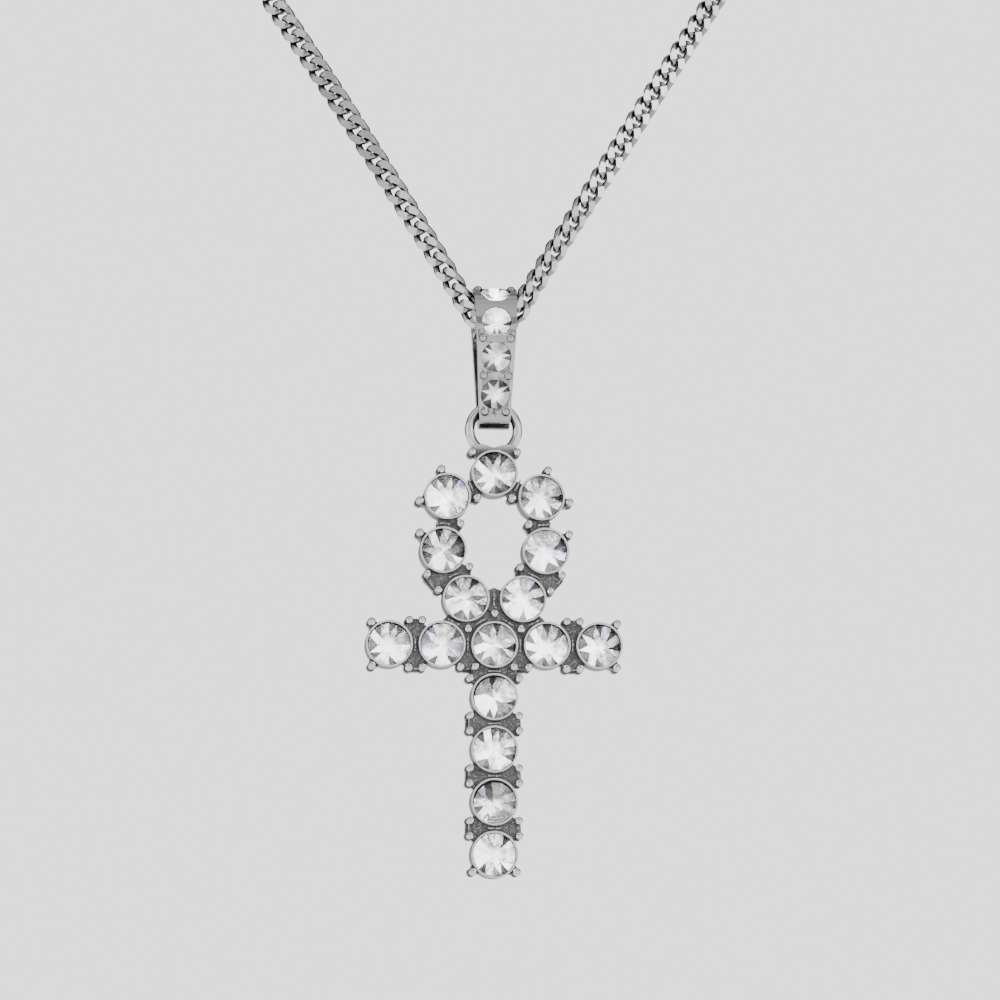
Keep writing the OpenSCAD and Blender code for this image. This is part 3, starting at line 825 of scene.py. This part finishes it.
class ANKH_OT_stage(bpy.types.Operator):
    """Sets the camera, the lights, the floor and the backdrop"""

    bl_idname = "ankh.stage"
    bl_label = "Set the stage"

    def execute(self, context):
        looks = context.scene.ankh_stage
        self.camera(context, looks)
        self.floor(looks)
        self.world(context, looks)
        self.lights()
        return {"FINISHED"}

    def toward_camera(self, looks):
        """The direction from the pendant to the camera."""
        a, e = looks.azimuth, looks.elevation
        return Vector((math.sin(a) * math.cos(e), -math.cos(a) * math.cos(e), math.sin(e)))

    def camera(self, context, looks):
        data = bpy.data.cameras.new("camera")
        data.lens = looks.lens
        data.sensor_width = SENSOR_WIDTH
        data.clip_start = 0.01
        cam = new_object("camera", data)
        back = self.toward_camera(looks)
        distance = looks.frame_width * data.lens / data.sensor_width
        cam.location = AIM + back * distance
        cam.rotation_euler = (-back).to_track_quat("-Z", "Y").to_euler()
        context.scene.camera = cam

    def floor(self, looks):
        mesh = bpy.data.meshes.new("floor")
        z = CAD_BOX[0].z - FLOOR_DROP
        h = FLOOR_SPAN / 2
        mesh.from_pydata([(-h, -h, z), (h, -h, z), (h, h, z), (-h, h, z)], [], [(0, 1, 2, 3)])
        floor = new_object("floor", mesh)
        dress(floor, plain("floor_paper", looks.floor, 0.9))
        floor.visible_transmission = False

    def world(self, context, looks):
        world = bpy.data.worlds.new("studio")
        world.use_nodes = True
        n = Nodes(world.node_tree)
        shown = world.node_tree.nodes["Background"]
        shown.inputs["Color"].default_value = (*looks.floor, 1)
        shown.inputs["Strength"].default_value = looks.backdrop
        way = n.add("ShaderNodeTexCoord").outputs["Generated"]
        x, y, z = n.split(way)
        # Panels and dark gaps round the pendant, which the metal mirrors
        angle = n.math("ARCTAN2", x, n.math("MULTIPLY", y, -1))
        around = n.ramp(n.steps(angle, -math.pi, math.pi), STUDIO_ROUND)
        panels = n.multiply(around, n.ramp(n.steps(z, -1, 1), STUDIO_HEIGHT))
        toward = n.add("ShaderNodeVectorMath", operation="DOT_PRODUCT")
        n.link(way, toward.inputs[0])
        toward.inputs[1].default_value = self.toward_camera(looks)
        spot = math.cos(looks.camera_spot)
        lens = n.steps(toward.outputs["Value"], spot - LENS_EDGE, spot, 1, LENS_LEFT)
        metal_sees = n.background(n.multiply(panels, lens), looks.studio)
        # Soft even light, which comes back out of the cut stones
        upper = n.steps(z, -0.9, 0.1, 0.85, 1)
        soft = n.math("MULTIPLY", upper, n.steps(x, -1, 1, 1, 0.88))
        stones_see = n.background(soft, looks.sparkle)
        rays = n.add("ShaderNodeLightPath").outputs
        mirrored = n.either(rays["Is Transmission Ray"], metal_sees, stones_see)
        both = n.either(rays["Is Camera Ray"], mirrored, shown.outputs[0])
        n.link(both, world.node_tree.nodes["World Output"].inputs["Surface"])
        context.scene.world = world

    def lights(self):
        for name, place, size, power in LIGHTS:
            data = bpy.data.lights.new(name, "AREA")
            data.size = size
            data.energy = power
            light = new_object(name, data)
            light.location = place
            light.rotation_euler = (AIM - Vector(place)).to_track_quat("-Z", "Y").to_euler()
            light.visible_camera = False
            light.visible_glossy = False


class ANKH_OT_frame(bpy.types.Operator):
    """Finishes the cast frame of the ankh with its cups, webs, prongs and ring"""

    bl_idname = "ankh.frame"
    bl_label = "Finish the ankh's frame"

    def execute(self, context):
        dress(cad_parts["ankh_frame"], cast_silver(context.scene.ankh_metal))
        return {"FINISHED"}


class ANKH_OT_stones(bpy.types.Operator):
    """Gives the ankh's and the bail's stones their clear look"""

    bl_idname = "ankh.stones"
    bl_label = "Cut the stones"

    def execute(self, context):
        looks = context.scene.ankh_stone
        chance = random.Random(looks.seed)
        crystal = clear_stone(looks)
        for nodes, body, foil in (
            (ANKH_STONES, "ankh", looks.foil),
            (BAIL_STONES, "bail", looks.small_foil),
        ):
            for node in nodes:
                stone = merged_copy(node, f"cut_{node}")
                dress(stone, crystal)
                set_stone(stone, chance, looks, foil)
                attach(stone, body)
                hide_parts(node)
        return {"FINISHED"}


class ANKH_OT_bail(bpy.types.Operator):
    """Finishes the polished bail and the clasp"""

    bl_idname = "ankh.bail"
    bl_label = "Finish the bail and the clasp"

    def execute(self, context):
        # The bail and the clasp get painted shade on their sides, down to a fifth of the
        # brightness
        bright = polished_silver(
            "bright_silver", context.scene.ankh_metal, 0.05 * MM, edges=SOFT_EDGE, sides=0.2
        )
        dress(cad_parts["clasp"], bright)
        bail = merged_copy("bail", "polished_bail", math.radians(22))
        dress(bail, bright)
        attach(bail, "bail")
        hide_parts("bail")
        return {"FINISHED"}


class ANKH_OT_chain(bpy.types.Operator):
    """Links the curb chain along its route, in place of the source's tube"""

    bl_idname = "ankh.chain"
    bl_label = "Link the chain"

    def execute(self, context):
        sizes = context.scene.ankh_chain
        path = smooth_path(route_points(), ROUTE_STEP)
        length = sum((b - a).length for a, b in zip(path, path[1:]))
        # Its flats get a painted highlight, and the metal beside them painted shade
        silver = polished_silver(
            "chain_silver", context.scene.ankh_metal, 0.04 * MM, 0.8, flats="cut_flat"
        )
        link = curb_link(sizes)
        line = path_curve("chain_line", path)
        tree, inputs = link_tree(silver)
        links = line.modifiers.new("links", "NODES")
        links.node_group = tree
        links[inputs["Link"]] = link
        links[inputs["Count"]] = round(length / sizes.pitch) + 1
        links[inputs["Middle"]] = (0, CAD_BOX[0].y / 2, 0)
        links[inputs["Bail twist"]] = sizes.bail_twist
        links[inputs["Bail reach"]] = sizes.bail_reach
        chain = plain_mesh(line, "curb_chain")
        bpy.data.objects.remove(link)
        print("chain", round(length, 5), len(chain.data.polygons))
        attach(chain, "chain")
        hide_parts("chain")
        return {"FINISHED"}


class ANKH_PT_looks(bpy.types.Panel):
    """Lists the looks of the pendant"""

    bl_idname = "ANKH_PT_looks"
    bl_label = "Ankh pendant"
    bl_space_type = "VIEW_3D"
    bl_region_type = "UI"
    bl_category = "Ankh"

    def draw(self, context):
        scene = context.scene
        for group in GROUPS:
            settings = getattr(scene, group)
            box = self.layout.box()
            for name in settings.bl_rna.properties.keys():
                if name not in {"rna_type", "name"}:
                    box.prop(settings, name)
        for operator in OPERATORS:
            self.layout.operator(operator.bl_idname)


GROUPS = {
    "ankh_chain": ChainSizes, "ankh_metal": MetalLooks,
    "ankh_stone": StoneLooks, "ankh_stage": StageLooks,
}
OPERATORS = (ANKH_OT_stage, ANKH_OT_frame, ANKH_OT_stones, ANKH_OT_bail, ANKH_OT_chain)


def register():
    for group in GROUPS.values():
        bpy.utils.register_class(group)
    for cls in (*OPERATORS, ANKH_PT_looks):
        bpy.utils.register_class(cls)
    for name, group in GROUPS.items():
        setattr(bpy.types.Scene, name, PointerProperty(type=group))


def unregister():
    for name in GROUPS:
        delattr(bpy.types.Scene, name)
    for cls in (ANKH_PT_looks, *reversed(OPERATORS)):
        bpy.utils.unregister_class(cls)
    for group in GROUPS.values():
        bpy.utils.unregister_class(group)


def main():
    register()
    bpy.ops.ankh.stage()
    bpy.ops.ankh.frame()
    bpy.ops.ankh.stones()
    bpy.ops.ankh.bail()
    bpy.ops.ankh.chain()
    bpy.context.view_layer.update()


if __name__ == "__main__":
    main()
